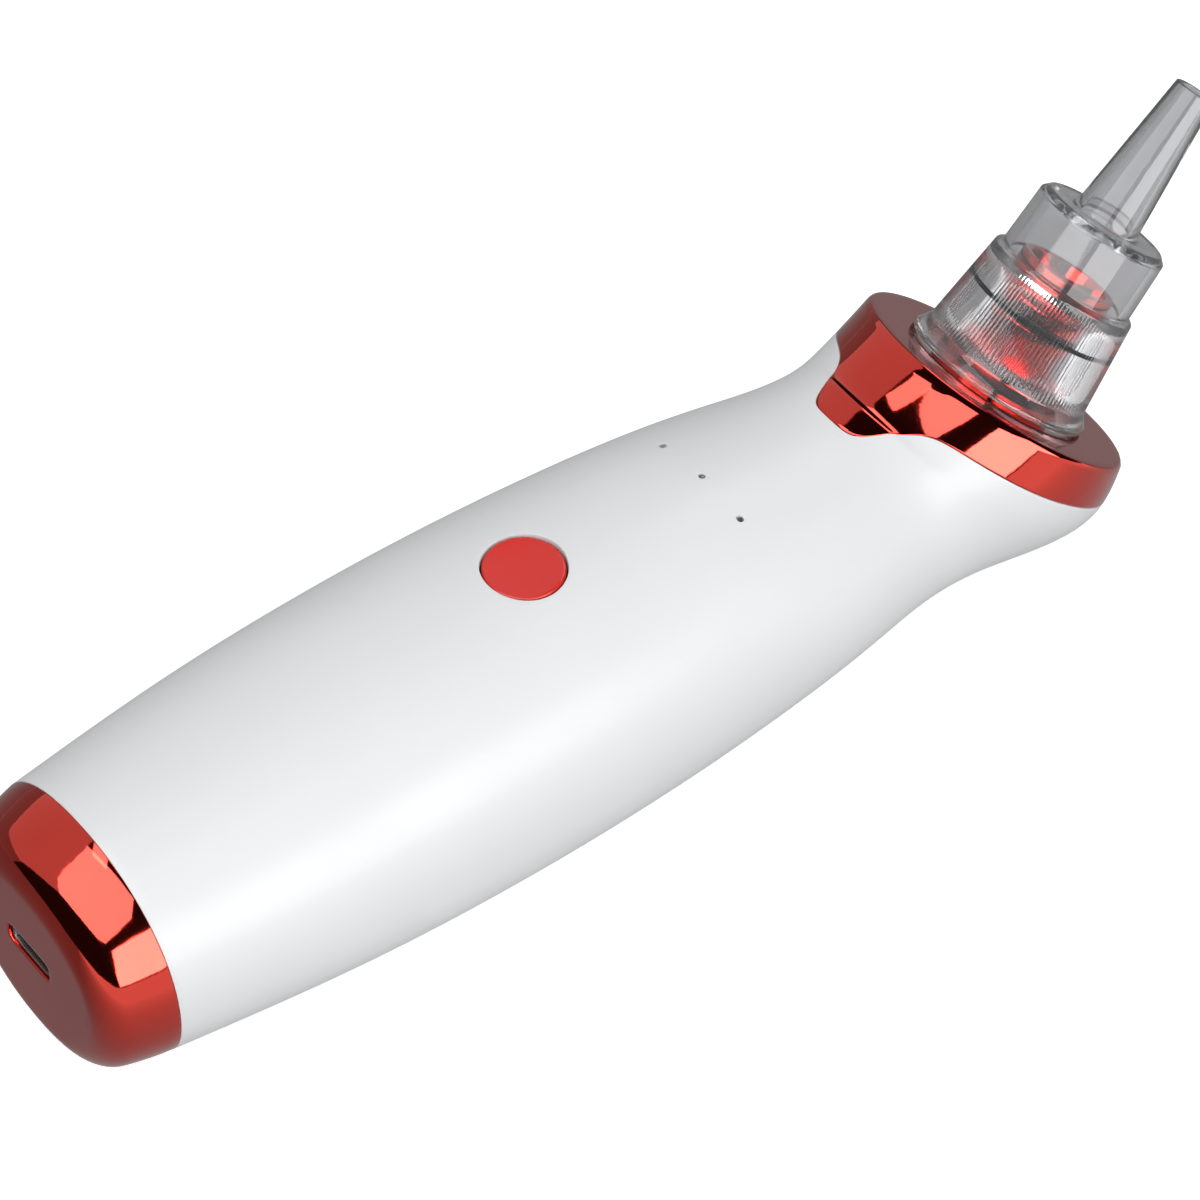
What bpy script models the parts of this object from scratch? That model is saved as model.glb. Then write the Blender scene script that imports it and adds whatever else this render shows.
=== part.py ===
# Hand-held pore vacuum with a clear suction head, lying on its back with the button up.
# Sizes are in millimetres in the body frame: X from the base to the head, Z up through the
# button. MM turns them into metres, and one empty carries the whole object to its place.

import math

import bmesh
import bpy
import numpy as np
from mathutils import Matrix, Vector

MM = 0.001
GAP = 0.3  # clearance between neighbouring pieces
COLLAR_GAP = 0.9  # clearance along the collar's wavy edge
SPLIT_GAP = 1.2  # clearance along the split between housing and rear cover
WALL = 1.8  # housing wall
SEGMENTS = 36  # sides of a large turned piece
SMALL_SEGMENTS = 16  # sides of a small turned piece

# Body sections from the cap joint to the head: centre x, centre z, tilt in degrees,
# half width, front depth, back depth, fullness (2 is an ellipse, more is squarer)
SECTIONS = (
    (8.3, 0.0, 0.0, 17.5, 16.4, 14.1, 2.15),
    (30.0, 0.0, 0.0, 19.95, 18.1, 16.1, 2.15),
    (50.0, 0.0, 0.0, 20.8, 19.1, 17.8, 2.15),
    (70.0, 0.0, 0.0, 20.6, 19.0, 18.5, 2.15),
    (90.0, 0.0, 0.0, 19.35, 17.9, 18.4, 2.15),
    (107.8, 0.1, 11.2, 17.55, 15.8, 16.3, 2.12),
    (123.9, -0.7, 26.3, 16.0, 17.45, 17.1, 2.1),
    (135.7, -0.65, 46.8, 18.4, 22.6, 20.0, 2.0),
    (140.0, 5.1, 49.1, 18.3, 18.3, 18.3, 2.0),
)
REST_DEPTH = 18.0  # the back is flattened this far below the centre line, where it lies on a table

# Base cap
CAP_LENGTH = 8.3
CAP_END = (14.85, 12.95, 13.6)  # half width, front and back depth where the end face would be square
CAP_BULGE = 1.0
CAP_ROUNDING = 3.0
CAP_ROUNDING_STEPS = 4
PORT_WIDTH = 8.1
PORT_HEIGHT = 2.9
PORT_Z = 0.7

# Head: tilted axis, seat, collar edge and the pieces turned about the axis
HEAD_TILT = 49.1
SEAT_X = 140.0
SEAT_Z = 5.1
SEAT_RADIUS = 18.3
SEAT_EDGE = 0.5
BOSS_HOLE = 8.6
COLLAR_BAND = 5.6  # depth of the collar at the sides and back
COLLAR_TONGUE = 13.3  # depth of the collar on the front centre line
TONGUE_HALF_WIDTH = 5.7
TONGUE_SQUARENESS = 5.8

BOSS_RADIUS = 8.2
BOSS_TOP_RADIUS = 6.4
BOSS_TOP = 15.75
BOSS_FLANGE_RADIUS = 11.0
BORE_RADIUS = 3.2
PASSAGE_RADIUS = 1.0
NIPPLE_RADIUS = 1.8
NIPPLE_END = -12.0
RING_HEIGHT = 9.5
RING_MAJOR = 7.95
RING_MINOR = 0.75
TIP_HEIGHT = 42.1
TIP_RADIUS = 2.64
TIP_BORE = 1.7
BLEED_RADIUS = 0.35

# Housing split, button and indicator lights
ROW_CROWDING = 1.5  # more than 1 puts the rows closer together towards the head
SPLIT_ANGLE = 135.0  # degrees from the front centre line to the edge of the rear cover
BUTTON_X = 68.2
BUTTON_RADIUS = 4.84
BUTTON_TOP = 18.75
LIGHT_X = 93.9
LIGHT_SPACING = 7.14
LIGHT_HOLE = 0.75
LIGHT_PIPE = 0.45

# Inside
BOARD_X = (46.0, 100.0)
BOARD_HALF_WIDTH = 9.5
BOARD_TOP = 11.9
BOARD_THICKNESS = 1.0
BOARD_SCREWS = ((50.0, 6.5), (50.0, -6.5), (84.0, 7.0), (84.0, -7.0))
AXIS_Z = -4.5  # motor and pump axis
MOTOR_X = (64.0, 88.5)
MOTOR_RADIUS = 10.8
SHAFT_RADIUS = 1.0
CRANK_THROW = 1.2
CRANK_X = (96.0, 98.5)
PUMP_X = (90.3, 106.0)
PUMP_HALF_WIDTH = 9.3
PUMP_Z = (-11.5, 1.7)
PUMP_SCREWS = ((92.3, 7.7), (92.3, -7.7), (104.0, 7.7), (104.0, -7.7))
BATTERY_X = (15.3, 58.3)
BATTERY_RADIUS = 7.0
BATTERY_Z = -3.0


def clear_scene():
    for item in list(bpy.data.objects):
        bpy.data.objects.remove(item)


def material(name, colour, roughness, metallic=0.0, alpha=1.0):
    found = bpy.data.materials.new(name)
    found.use_nodes = True
    shader = found.node_tree.nodes["Principled BSDF"]
    shader.inputs["Base Color"].default_value = (*colour, 1.0)
    shader.inputs["Roughness"].default_value = roughness
    shader.inputs["Metallic"].default_value = metallic
    shader.inputs["Alpha"].default_value = alpha
    return found


def empty(name, location, parent=None, turn=0.0):
    # an empty turned about Y, so that its own Z is the axis of the pieces on it
    holder = bpy.data.objects.new(name, None)
    bpy.context.scene.collection.objects.link(holder)
    holder.location = Vector(location) * MM
    holder.rotation_euler = (0.0, math.radians(turn), 0.0)
    holder.parent = parent
    return holder


def add_object(name, bm, paint, parent, location=(0.0, 0.0, 0.0)):
    bmesh.ops.scale(bm, vec=(MM, MM, MM), verts=bm.verts)
    mesh = bpy.data.meshes.new(name)
    bm.to_mesh(mesh)
    bm.free()
    mesh.shade_smooth()
    mesh.set_sharp_from_angle(angle=math.radians(35))
    mesh.materials.append(paint)
    item = bpy.data.objects.new(name, mesh)
    bpy.context.scene.collection.objects.link(item)
    item.parent = parent
    item.location = Vector(location) * MM
    return item


def as_cutter(item):
    item.hide_render = True
    item.display_type = "WIRE"
    return item


def boolean(item, other, operation):
    change = item.modifiers.new(other.name, "BOOLEAN")
    change.operation = operation
    change.solver = "EXACT"
    change.object = other


def thicken(item, thickness):
    wall = item.modifiers.new("wall", "SOLIDIFY")
    wall.thickness = thickness * MM
    wall.offset = -1.0
    wall.use_even_offset = True


# --- Body surface -------------------------------------------------------------------------


def cubic_through(knots, rows):
    # natural cubic spline with one row of values at each knot
    step = np.diff(knots)
    count = len(knots)
    slope = np.diff(rows, axis=0) / step[:, None]
    matrix = np.eye(count)
    right = np.zeros(rows.shape)
    for i in range(1, count - 1):
        matrix[i, i - 1 : i + 2] = step[i - 1], 2 * (step[i - 1] + step[i]), step[i]
        right[i] = 6 * (slope[i] - slope[i - 1])
    bend = np.linalg.solve(matrix, right)

    def value(s):
        i = int(np.clip(np.searchsorted(knots, s) - 1, 0, count - 2))
        before = (knots[i + 1] - s) / step[i]
        after = 1 - before
        curve = (before**3 - before) * bend[i] + (after**3 - after) * bend[i + 1]
        return before * rows[i] + after * rows[i + 1] + curve * step[i] ** 2 / 6

    return value


def chord_lengths(points):
    steps = np.linalg.norm(np.diff(points, axis=0), axis=1)
    return np.concatenate([[0.0], np.cumsum(steps)])


SECTION_ROWS = np.array(SECTIONS)
SECTION_KNOTS = chord_lengths(SECTION_ROWS[:, :2])
BODY_END = float(SECTION_KNOTS[-1])
body_section = cubic_through(SECTION_KNOTS, SECTION_ROWS)


def section_point(section, angle, inset=0.0):
    # angle runs from the front centre line round the section
    x, z, tilt, half_width, front, back, fullness = section
    side, lift = math.sin(angle), math.cos(angle)
    depth = front if lift > 0 else back
    y = (half_width - inset) * math.copysign(abs(side) ** (2 / fullness), side)
    height = (depth - inset) * math.copysign(abs(lift) ** (2 / fullness), lift)
    lean = math.radians(tilt)
    lowered = z + math.cos(lean) * height
    return Vector((x - math.sin(lean) * height, y, max(lowered, -REST_DEPTH)))


def front_height(x, y):
    # height of the outer surface over a point of the straight front
    section = body_section(x - SECTIONS[0][0])
    half_width, front, fullness = section[3], section[4], section[6]
    return front * (1 - (abs(y) / half_width) ** fullness) ** (1 / fullness)


def collar_edge(angle, clearance):
    # walks down the surface from the seat until it has gone as deep as the collar is there
    step = 0.2
    s = BODY_END
    point = section_point(body_section(s), angle)
    walked = 0.0
    while True:
        share = 1 / (1 + abs(point.y / TONGUE_HALF_WIDTH) ** TONGUE_SQUARENESS)
        depth = COLLAR_BAND + (COLLAR_TONGUE - COLLAR_BAND) * share
        if angle_from_front(angle) > 90:
            depth = COLLAR_BAND
        if walked >= depth + clearance:
            return s
        s -= step
        below = section_point(body_section(s), angle)
        walked += (below - point).length
        point = below


def angle_from_front(angle):
    turn = math.degrees(angle) % 360
    return min(turn, 360 - turn)


def skin(columns, rows, place, closed):
    # a grid bent onto a surface: place gives the point for shares 0 to 1 round and along
    bm = bmesh.new()
    bmesh.ops.create_grid(bm, x_segments=columns, y_segments=rows, size=0.5)
    for vert in bm.verts:
        vert.co = place(vert.co.x + 0.5, vert.co.y + 0.5)
    if closed:
        bmesh.ops.remove_doubles(bm, verts=bm.verts, dist=0.0005)
    bmesh.ops.reverse_faces(bm, faces=bm.faces)
    return bm


def housing_skin(first, last, columns, rows):
    edge = {}

    def place(around, along):
        angle = math.radians(first + (last - first) * around)
        if around not in edge:
            edge[around] = collar_edge(angle, COLLAR_GAP)
        s = GAP + (edge[around] - GAP) * (1 - (1 - along) ** ROW_CROWDING)
        return section_point(body_section(s), angle)

    return skin(columns, rows, place, closed=False)


# --- Turned, boxed and swept pieces ---------------------------------------------------------


def turned(profile, segments=SEGMENTS):
    # a closed outline of (radius, height) points, spun about Z
    bm = bmesh.new()
    verts = [bm.verts.new((radius, 0.0, height)) for radius, height in profile]
    pairs = list(zip(verts, verts[1:]))
    if profile[0][0] > 0 or profile[-1][0] > 0:
        pairs.append((verts[-1], verts[0]))
    edges = [bm.edges.new(pair) for pair in pairs]
    bmesh.ops.spin(
        bm,
        geom=verts + edges,
        cent=(0, 0, 0),
        axis=(0, 0, 1),
        angle=math.tau,
        steps=segments,
        use_merge=True,
    )
    bmesh.ops.remove_doubles(bm, verts=bm.verts, dist=0.0005)
    bmesh.ops.recalc_face_normals(bm, faces=bm.faces)
    return bm


def disc(radius, low, high, segments=SMALL_SEGMENTS):
    return turned([(0.0, low), (radius, low), (radius, high), (0.0, high)], segments)


def ring(inner, outer, low, high, segments=SMALL_SEGMENTS):
    return turned([(inner, low), (outer, low), (outer, high), (inner, high)], segments)


def add_box(bm, low, high):
    middle = (Vector(low) + Vector(high)) / 2
    size = Vector(high) - Vector(low)
    placed = Matrix.Translation(middle) @ Matrix.Diagonal((*size, 1.0))
    bmesh.ops.create_cube(bm, size=1.0, matrix=placed)


def box(low, high, rounding=0.0):
    bm = bmesh.new()
    add_box(bm, low, high)
    if rounding:
        bevel_all(bm, rounding)
    return bm


def bevel_all(bm, width):
    bmesh.ops.bevel(
        bm,
        geom=list(bm.edges),
        offset=width,
        affect="EDGES",
        segments=1,
        profile=0.5,
        material=-1,
    )


def add_cylinder(bm, radius, low, high, x, y, segments=12):
    # an upright cylinder
    placed = Matrix.Translation((x, y, (low + high) / 2))
    bmesh.ops.create_cone(
        bm,
        cap_ends=True,
        segments=segments,
        radius1=radius,
        radius2=radius,
        depth=high - low,
        matrix=placed,
    )


def cylinders(radius, low, high, places, segments=12):
    bm = bmesh.new()
    for x, y in places:
        add_cylinder(bm, radius, low, high, x, y, segments)
    return bm


def smooth_route(points, spacing):
    # evenly spaced points on a smooth curve through the route's own points
    route = np.array(points, float)
    knots = chord_lengths(route)
    curve = cubic_through(knots, route)
    count = max(4, round(knots[-1] / spacing))
    return [curve(knots[-1] * i / count) for i in range(count + 1)]


def swept(name, points, radius, spacing, sides, paint, parent, capped=True):
    line = bpy.data.curves.new(name, "CURVE")
    line.dimensions = "3D"
    line.bevel_depth = radius * MM
    line.bevel_resolution = sides
    line.use_fill_caps = capped
    spline = line.splines.new("POLY")
    placed = smooth_route(points, spacing)
    spline.points.add(len(placed) - 1)
    for point, target in zip(spline.points, placed):
        point.co = (*(Vector(target) * MM), 1.0)
    line.materials.append(paint)
    item = bpy.data.objects.new(name, line)
    bpy.context.scene.collection.objects.link(item)
    item.parent = parent
    return item


# --- Housing --------------------------------------------------------------------------------


def front_housing(frame, paint):
    bm = housing_skin(-SPLIT_ANGLE, SPLIT_ANGLE, 36, 17)
    item = add_object("front_housing", bm, paint, frame)
    thicken(item, WALL)
    posts = bmesh.new()
    holes = bmesh.new()
    for x, y in BOARD_SCREWS:
        add_cylinder(posts, 2.0, BOARD_TOP + GAP, front_height(x, y) - WALL / 2, x, y)
        add_cylinder(holes, 1.1, BOARD_TOP - 1.0, 14.8, x, y, 8)
    add_cylinder(holes, BUTTON_RADIUS + GAP, 13.0, 25.0, BUTTON_X, 0.0, 32)
    for y in (-LIGHT_SPACING, 0.0, LIGHT_SPACING):
        add_cylinder(holes, LIGHT_HOLE, 13.0, 25.0, LIGHT_X, y)
    boolean(item, as_cutter(add_object("posts", posts, paint, frame)), "UNION")
    boolean(item, as_cutter(add_object("front_holes", holes, paint, frame)), "DIFFERENCE")


def rear_cover(frame, paint):
    margin = math.degrees(SPLIT_GAP / 2 / SEAT_RADIUS)
    bm = housing_skin(SPLIT_ANGLE + margin, 360 - SPLIT_ANGLE - margin, 12, 17)
    item = add_object("rear_cover", bm, paint, frame)
    thicken(item, WALL)
    ribs = bmesh.new()
    for x in (24.0, 50.0, 68.0, 84.0):
        depth = body_section(x - SECTIONS[0][0])[5] - WALL / 2
        top = BATTERY_Z - 3.5 if x < MOTOR_X[0] else AXIS_Z - 6.0
        add_box(ribs, (x - 1.0, -7.0, -depth), (x + 1.0, 7.0, top))
    beds = bmesh.new()
    for radius, z, reach in (
        (BATTERY_RADIUS + GAP, BATTERY_Z, BATTERY_X),
        (MOTOR_RADIUS + GAP, AXIS_Z, MOTOR_X),
    ):
        turn = Matrix.Rotation(math.radians(90), 4, "Y")
        place = Matrix.Translation((sum(reach) / 2, 0.0, z)) @ turn
        length = reach[1] - reach[0]
        bmesh.ops.create_cone(
            beds,
            cap_ends=True,
            segments=24,
            radius1=radius,
            radius2=radius,
            depth=length,
            matrix=place,
        )
    cradle = as_cutter(add_object("ribs", ribs, paint, frame))
    boolean(cradle, as_cutter(add_object("beds", beds, paint, frame)), "DIFFERENCE")
    boolean(item, cradle, "UNION")


def cap_section(x):
    joint = SECTIONS[0]
    share = x / CAP_LENGTH
    sizes = []
    for end, start in zip(joint[3:6], CAP_END):
        sizes.append(start + (end - start) * share + CAP_BULGE * share * (1 - share))
    return (x, 0.0, 0.0, *sizes, joint[6])


def base_cap(frame, paint):
    # from the middle of the flat end, over the rounded edge, to the joint with the housing
    stops = [(0.0, share) for share in (0.0, 0.55)]
    for i in range(CAP_ROUNDING_STEPS + 1):
        turn = math.pi / 2 * i / CAP_ROUNDING_STEPS
        stops.append((CAP_ROUNDING * (1 - math.cos(turn)), CAP_ROUNDING * (1 - math.sin(turn))))
    stops += [(5.6, 0.0), (CAP_LENGTH - GAP, 0.0)]

    def place(around, along):
        index = round(along * (len(stops) - 1))
        x, inset = stops[index]
        angle = math.tau * around
        if index < 2:
            edge = section_point(cap_section(0.0), angle, CAP_ROUNDING)
            return Vector((0.0, edge.y * inset, edge.z * inset))
        return section_point(cap_section(x), angle, inset)

    item = add_object("base_cap", skin(32, len(stops) - 1, place, closed=True), paint, frame)
    thicken(item, WALL)
    slot = bmesh.new()
    half = PORT_WIDTH / 2
    add_box(slot, (-5.0, -half, PORT_Z - PORT_HEIGHT / 2), (4.0, half, PORT_Z + PORT_HEIGHT / 2))
    corners = [edge for edge in slot.edges if abs(edge.verts[0].co.x - edge.verts[1].co.x) > 1]
    bmesh.ops.bevel(
        slot,
        geom=corners,
        offset=0.8,
        affect="EDGES",
        segments=2,
        profile=0.5,
        material=-1,
    )
    boolean(item, as_cutter(add_object("port_slot", slot, paint, frame)), "DIFFERENCE")


def head_collar(frame, paint):
    # the band above the wavy edge, a rounded rim and the flat seat down to the boss hole
    band_rows = 6
    lean = math.radians(HEAD_TILT)
    across = Vector((-math.sin(lean), 0.0, math.cos(lean)))
    axis = Vector((math.cos(lean), 0.0, math.sin(lean)))
    seat = Vector((SEAT_X, 0.0, SEAT_Z))
    edge = {}
    seat_rings = ((SEAT_RADIUS - SEAT_EDGE * 0.3, SEAT_EDGE * 0.3), (SEAT_RADIUS - SEAT_EDGE, 0.0))
    seat_rings += ((13.0, 0.0), (BOSS_HOLE, 0.0))
    rows = band_rows + len(seat_rings)
    top = BODY_END - SEAT_EDGE

    def place(around, along):
        angle = math.tau * around
        index = round(along * rows)
        if index > band_rows:
            radius, drop = seat_rings[index - band_rows - 1]
            side = Vector((0.0, math.sin(angle), 0.0)) + across * math.cos(angle)
            return seat + side * radius - axis * drop
        if around not in edge:
            edge[around] = collar_edge(angle, 0.0)
        s = edge[around] + (top - edge[around]) * index / band_rows
        return section_point(body_section(s), angle)

    item = add_object("head_collar", skin(48, rows, place, closed=True), paint, frame)
    thicken(item, WALL)


# --- Head -----------------------------------------------------------------------------------


def suction_boss(head, paint):
    groove_low = RING_HEIGHT - 1.1
    groove_high = RING_HEIGHT + 1.1
    profile = [
        (PASSAGE_RADIUS, NIPPLE_END),
        (NIPPLE_RADIUS, NIPPLE_END),
        (NIPPLE_RADIUS, -4.0),
        (BOSS_FLANGE_RADIUS, -4.0),
        (BOSS_FLANGE_RADIUS, -WALL - GAP),
        (BOSS_RADIUS, -WALL - GAP),
        (BOSS_RADIUS, groove_low),
        (RING_MAJOR - RING_MINOR - GAP, groove_low),
        (RING_MAJOR - RING_MINOR - GAP, groove_high),
        (BOSS_RADIUS, groove_high),
        (BOSS_RADIUS, 11.7),
        (BOSS_RADIUS - 0.3, 12.0),
        (BOSS_TOP_RADIUS, 12.0),
        (BOSS_TOP_RADIUS, BOSS_TOP - 0.35),
        (BOSS_TOP_RADIUS - 0.35, BOSS_TOP),
        (BOSS_TOP_RADIUS - 1.1, BOSS_TOP),
        (BOSS_TOP_RADIUS - 1.2, 13.4),
        (BORE_RADIUS, 13.4),
        (BORE_RADIUS, 5.5),
        (PASSAGE_RADIUS, 5.5),
    ]
    add_object("suction_boss", turned(profile, 28), paint, head)


def o_ring(head, paint):
    profile = []
    for i in range(8):
        turn = math.tau * i / 8
        radius = RING_MAJOR + RING_MINOR * math.cos(turn)
        profile.append((radius, RING_HEIGHT + RING_MINOR * math.sin(turn)))
    add_object("o_ring", turned(profile, 28), paint, head)


def suction_head(head, paint):
    profile = [
        (10.5, GAP),
        (12.2, GAP),
        (12.2, 0.9),
        (11.7, 1.5),
        (11.05, 2.5),
        (9.75, 14.5),
        (9.0, 14.9),
        (8.75, 22.6),
        (7.95, 23.4),
        (4.5, 23.4),
        (4.2, 24.4),
        (TIP_RADIUS, TIP_HEIGHT),
        (TIP_BORE, TIP_HEIGHT),
        (3.2, 24.0),
        (3.4, 22.2),
        (7.6, 22.2),
        (7.8, 13.9),
        (8.95, 13.2),
        (9.1, 8.5),
        (10.0, 2.5),
    ]
    item = add_object("suction_head", turned(profile), paint, head)
    bleed = cylinders(BLEED_RADIUS, 20.0, 26.0, [(-5.4, -2.6)], 8)
    boolean(item, as_cutter(add_object("bleed_hole", bleed, paint, head)), "DIFFERENCE")


def filter_sponge(head, paint):
    bm = disc(BORE_RADIUS - GAP, 6.0, 11.0)
    bevel_all_rims(bm, 0.3)
    add_object("filter_sponge", bm, paint, head)


def bevel_all_rims(bm, width):
    rims = [edge for edge in bm.edges if edge.calc_face_angle(0.0) > math.radians(60)]
    bmesh.ops.bevel(
        bm,
        geom=rims,
        offset=width,
        affect="EDGES",
        segments=1,
        profile=0.5,
        material=-1,
    )


# --- Button, lights and boards --------------------------------------------------------------


def power_button(frame, red, grey):
    axis = empty("button_axis", (BUTTON_X, 0.0, 0.0), frame)
    profile = [
        (0.0, 15.4),
        (6.0, 15.4),
        (6.0, 16.1),
        (BUTTON_RADIUS, 16.1),
        (BUTTON_RADIUS, BUTTON_TOP - 0.3),
        (BUTTON_RADIUS - 0.3, BUTTON_TOP),
        (0.0, BUTTON_TOP),
    ]
    add_object("power_button", turned(profile, 32), red, axis)
    add_object("switch_plunger", disc(1.5, 13.6, 15.1), grey, axis)
    body = add_object("tact_switch", box((-3.0, -3.0, 12.2), (3.0, 3.0, 14.2), 0.25), grey, axis)
    pocket = cylinders(1.5 + GAP, 12.8, 16.0, [(0.0, 0.0)], 16)
    boolean(body, as_cutter(add_object("plunger_pocket", pocket, grey, axis)), "DIFFERENCE")


def indicator_lights(frame, clear, amber):
    for name, y in (("left", LIGHT_SPACING), ("centre", 0.0), ("right", -LIGHT_SPACING)):
        surface = front_height(LIGHT_X, y)
        axis = empty("light_axis_" + name, (LIGHT_X, y, 0.0), frame)
        profile = [
            (0.0, 13.0),
            (1.3, 13.0),
            (1.3, 13.5),
            (LIGHT_PIPE, 13.5),
            (LIGHT_PIPE, surface - 0.1),
            (0.0, surface - 0.1),
        ]
        add_object("light_pipe_" + name, turned(profile, 12), clear, axis)
        chip = box((-0.8, -0.8, BOARD_TOP + GAP), (0.8, 0.8, BOARD_TOP + 0.8))
        add_object("indicator_led_" + name, chip, amber, axis)


def control_board(frame, green, steel):
    low = BOARD_TOP - BOARD_THICKNESS
    outline = box((BOARD_X[0], -BOARD_HALF_WIDTH, low), (BOARD_X[1], BOARD_HALF_WIDTH, BOARD_TOP))
    item = add_object("control_board", outline, green, frame)
    holes = cylinders(1.1, low - 1.0, BOARD_TOP + 1.0, BOARD_SCREWS, 8)
    boolean(item, as_cutter(add_object("board_holes", holes, green, frame)), "DIFFERENCE")
    for number, (x, y) in enumerate(BOARD_SCREWS, 1):
        profile = [
            (0.0, low - 1.1),
            (1.6, low - 1.1),
            (1.6, low - GAP),
            (0.8, low - GAP),
            (0.8, 14.2),
            (0.0, 14.5),
        ]
        add_object(f"board_screw_{number}", turned(profile, 12), steel, frame, (x, y, 0.0))


def charging_board(frame, green, steel, dark):
    board = box((2.4, -7.0, -2.4), (13.4, 7.0, -1.4))
    add_object("charging_board", board, green, frame)
    shell = bmesh.new()
    low, high = -1.1, 1.5 + GAP
    add_box(shell, (2.4, -3.75, low), (7.9, 3.75, high))
    item = add_object("usb_receptacle", shell, steel, frame)
    mouth = box((0.0, -3.3, low + 0.45), (7.4, 3.3, high - 0.45))
    boolean(item, as_cutter(add_object("usb_mouth", mouth, steel, frame)), "DIFFERENCE")
    middle = (low + high) / 2
    tongue = box((3.0, -2.2, middle - 0.3), (7.0, 2.2, middle + 0.3))
    add_object("usb_tongue", tongue, dark, frame)


# --- Battery, motor and pump ----------------------------------------------------------------


def battery(frame, wrap, steel):
    axis = empty("battery_axis", (0.0, 0.0, BATTERY_Z), frame, 90.0)
    low, high = BATTERY_X
    profile = [
        (0.0, low),
        (BATTERY_RADIUS - 0.5, low),
        (BATTERY_RADIUS, low + 0.5),
        (BATTERY_RADIUS, high - 0.5),
        (BATTERY_RADIUS - 0.5, high),
        (0.0, high),
    ]
    add_object("battery_cell", turned(profile, 24), wrap, axis)
    add_object("battery_contact", disc(2.2, high + GAP, high + 1.1, 12), steel, axis)


def motor(axis, steel, dark, copper):
    low, high = MOTOR_X
    can = [
        (MOTOR_RADIUS, low),
        (MOTOR_RADIUS, high - 0.6),
        (MOTOR_RADIUS - 0.6, high),
        (3.0, high),
        (3.0, high + 1.4),
        (SHAFT_RADIUS + GAP, high + 1.4),
        (SHAFT_RADIUS + GAP, high - 1.2),
        (MOTOR_RADIUS - 1.0, high - 1.2),
        (MOTOR_RADIUS - 1.0, low),
    ]
    add_object("motor_can", turned(can, 28), steel, axis)
    end = [
        (0.0, low - 1.8),
        (MOTOR_RADIUS - 0.4, low - 1.8),
        (MOTOR_RADIUS, low - 1.4),
        (MOTOR_RADIUS, low - GAP),
        (0.0, low - GAP),
    ]
    add_object("motor_end_cap", turned(end, 28), dark, axis)
    magnet = ring(MOTOR_RADIUS - 3.2, MOTOR_RADIUS - 1.3, low + 2.0, high - 3.0, 24)
    add_object("motor_magnet", magnet, dark, axis)
    rotor = ring(SHAFT_RADIUS + GAP, MOTOR_RADIUS - 3.8, low + 3.5, high - 4.5, 20)
    add_object("motor_armature", rotor, copper, axis)
    shaft = disc(SHAFT_RADIUS, low + 0.4, CRANK_X[1] + 1.0, 12)
    add_object("motor_shaft", shaft, steel, axis)


def crank(axis, brass, white):
    # local X is down in the world, so the throw points to -X: the crank rests at its top
    low, high = CRANK_X
    cam = disc(2.8, low, high, 20)
    bmesh.ops.translate(cam, verts=cam.verts, vec=(-CRANK_THROW, 0.0, 0.0))
    item = add_object("eccentric", cam, brass, axis)
    bore = disc(SHAFT_RADIUS + GAP, low - 1.0, high + 1.0, 12)
    boolean(item, as_cutter(add_object("eccentric_bore", bore, brass, axis)), "DIFFERENCE")
    pin = empty("crank_pin", (-CRANK_THROW, 0.0, 0.0), axis)
    inner = 2.8 + GAP
    eye = add_object("connecting_rod", ring(inner, inner + 1.2, low, high, 20), white, pin)
    arm_top = -(PUMP_Z[1] - AXIS_Z - CRANK_THROW)
    arm = box((arm_top, -1.1, low + 0.3), (-inner - 0.4, 1.1, high - 0.3))
    boolean(eye, as_cutter(add_object("rod_arm", arm, white, pin)), "UNION")


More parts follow.
